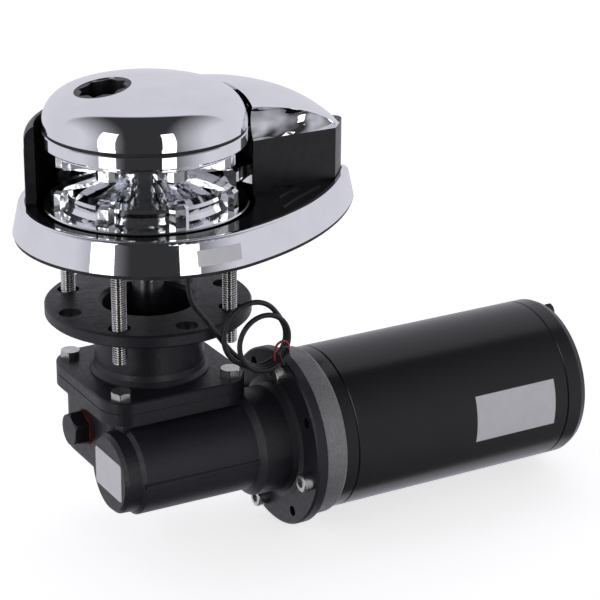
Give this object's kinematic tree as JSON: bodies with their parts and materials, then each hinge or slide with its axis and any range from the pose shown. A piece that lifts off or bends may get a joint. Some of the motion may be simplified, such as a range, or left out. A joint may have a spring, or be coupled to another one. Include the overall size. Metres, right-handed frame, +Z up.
{
  "type": "anchor windlass",
  "caption": "Vertical electric anchor windlass: chrome deck unit with chain gypsy and clutch cap, worm gearbox and DC motor below deck.",
  "frame": {"origin": "main shaft axis at the deck plane, which is the underside of the deck gasket", "axes": "+Z up along the main shaft, +X aft along the base and the motor, +Y to port"},
  "size_m": [0.3167, 0.1617, 0.2472],
  "materials": {
    "chrome": "mirror polished",
    "black_moulding": "satin moulded",
    "gloss_moulding": "gloss moulded",
    "gasket_rubber": "matt",
    "stainless": "bright",
    "machined_steel": "ground",
    "painted_casting": "satin black paint on cast aluminium",
    "raw_aluminium": "as cast",
    "motor_paint": "gloss black paint",
    "bronze": "machined bronze",
    "brass": "plated",
    "core_iron": "stamped plates",
    "magnet": "sintered ferrite",
    "copper": "enamelled wire",
    "carbon": "matt carbon",
    "label_film": "satin film, no print",
    "red_fibre": "matt fibre",
    "lead_jacket": "satin jacket"
  },
  "bodies": {
    "fixed_unit": {"deck_gasket": "gasket_rubber", "base_plate": "chrome", "shaft_bush": "bronze", "shaft_collar": "gasket_rubber", "lower_thrust_washer": "bronze", "deck_studs": "stainless", "housing": "black_moulding", "top_cover": "chrome", "chain_stripper": "stainless", "stripper_screws": "stainless", "main_bearing_outers": "machined_steel", "main_bearing_balls": "machined_steel", "gearbox_cover": "painted_casting", "main_seal": "gasket_rubber", "cover_bolts": "stainless", "seam_gasket": "gasket_rubber", "gear_case": "painted_casting", "filler_plug": "stainless", "plug_washer": "red_fibre", "worm_seal": "gasket_rubber", "flange_screws": "stainless", "worm_bearing_outers": "machined_steel", "worm_bearing_balls": "machined_steel", "motor_adapter": "raw_aluminium", "motor_bell": "motor_paint", "motor_tube": "motor_paint", "magnets": "magnet", "motor_rear_cap": "motor_paint", "rear_bush": "bronze", "terminal_studs": "brass", "terminal_washers": "red_fibre", "tie_bolts": "stainless", "brush_holder": "gloss_moulding", "brushes": "carbon", "labels": "label_film", "chain_counter": "black_moulding", "counter_lead": "lead_jacket", "lead_coil": "lead_jacket", "lead_tails": "lead_jacket"},
    "main_shaft": {"main_shaft": "machined_steel", "shaft_keys": "machined_steel", "worm_wheel": "bronze", "wheel_spacer": "machined_steel", "lower_cone": "bronze", "clutch_ring": "chrome", "main_bearing_inners": "machined_steel"},
    "gypsy": {"gypsy": "chrome", "counter_magnet": "magnet"},
    "cap": {"cap": "chrome", "lever_socket": "black_moulding", "cap_seal": "gasket_rubber", "cap_washer": "stainless"},
    "armature": {"worm": "machined_steel", "worm_bearing_inners": "machined_steel", "coupling": "machined_steel", "armature_shaft": "machined_steel", "armature_core": "core_iron", "end_windings": "copper", "commutator": "copper"}
  },
  "joints": [
    {"name": "armature_spin", "type": "hinge", "parent": "fixed_unit", "child": "armature", "pos_m": [0, -0.038, -0.1145], "axis": [1, 0, 0], "continuous": true},
    {"name": "shaft_spin", "type": "hinge", "parent": "fixed_unit", "child": "main_shaft", "pos_m": [0, 0, 0], "axis": [0, 0, 1], "continuous": true},
    {"name": "gypsy_spin", "type": "hinge", "parent": "main_shaft", "child": "gypsy", "pos_m": [0, 0, 0], "axis": [0, 0, 1], "continuous": true},
    {"name": "cap_turn", "type": "hinge", "parent": "main_shaft", "child": "cap", "pos_m": [0, 0, 0], "axis": [0, 0, 1], "range_deg": [0, 120]}
  ],
  "couplings": [
    {"joint": "shaft_spin", "follows": "armature_spin", "ratio": -0.029412}
  ]
}
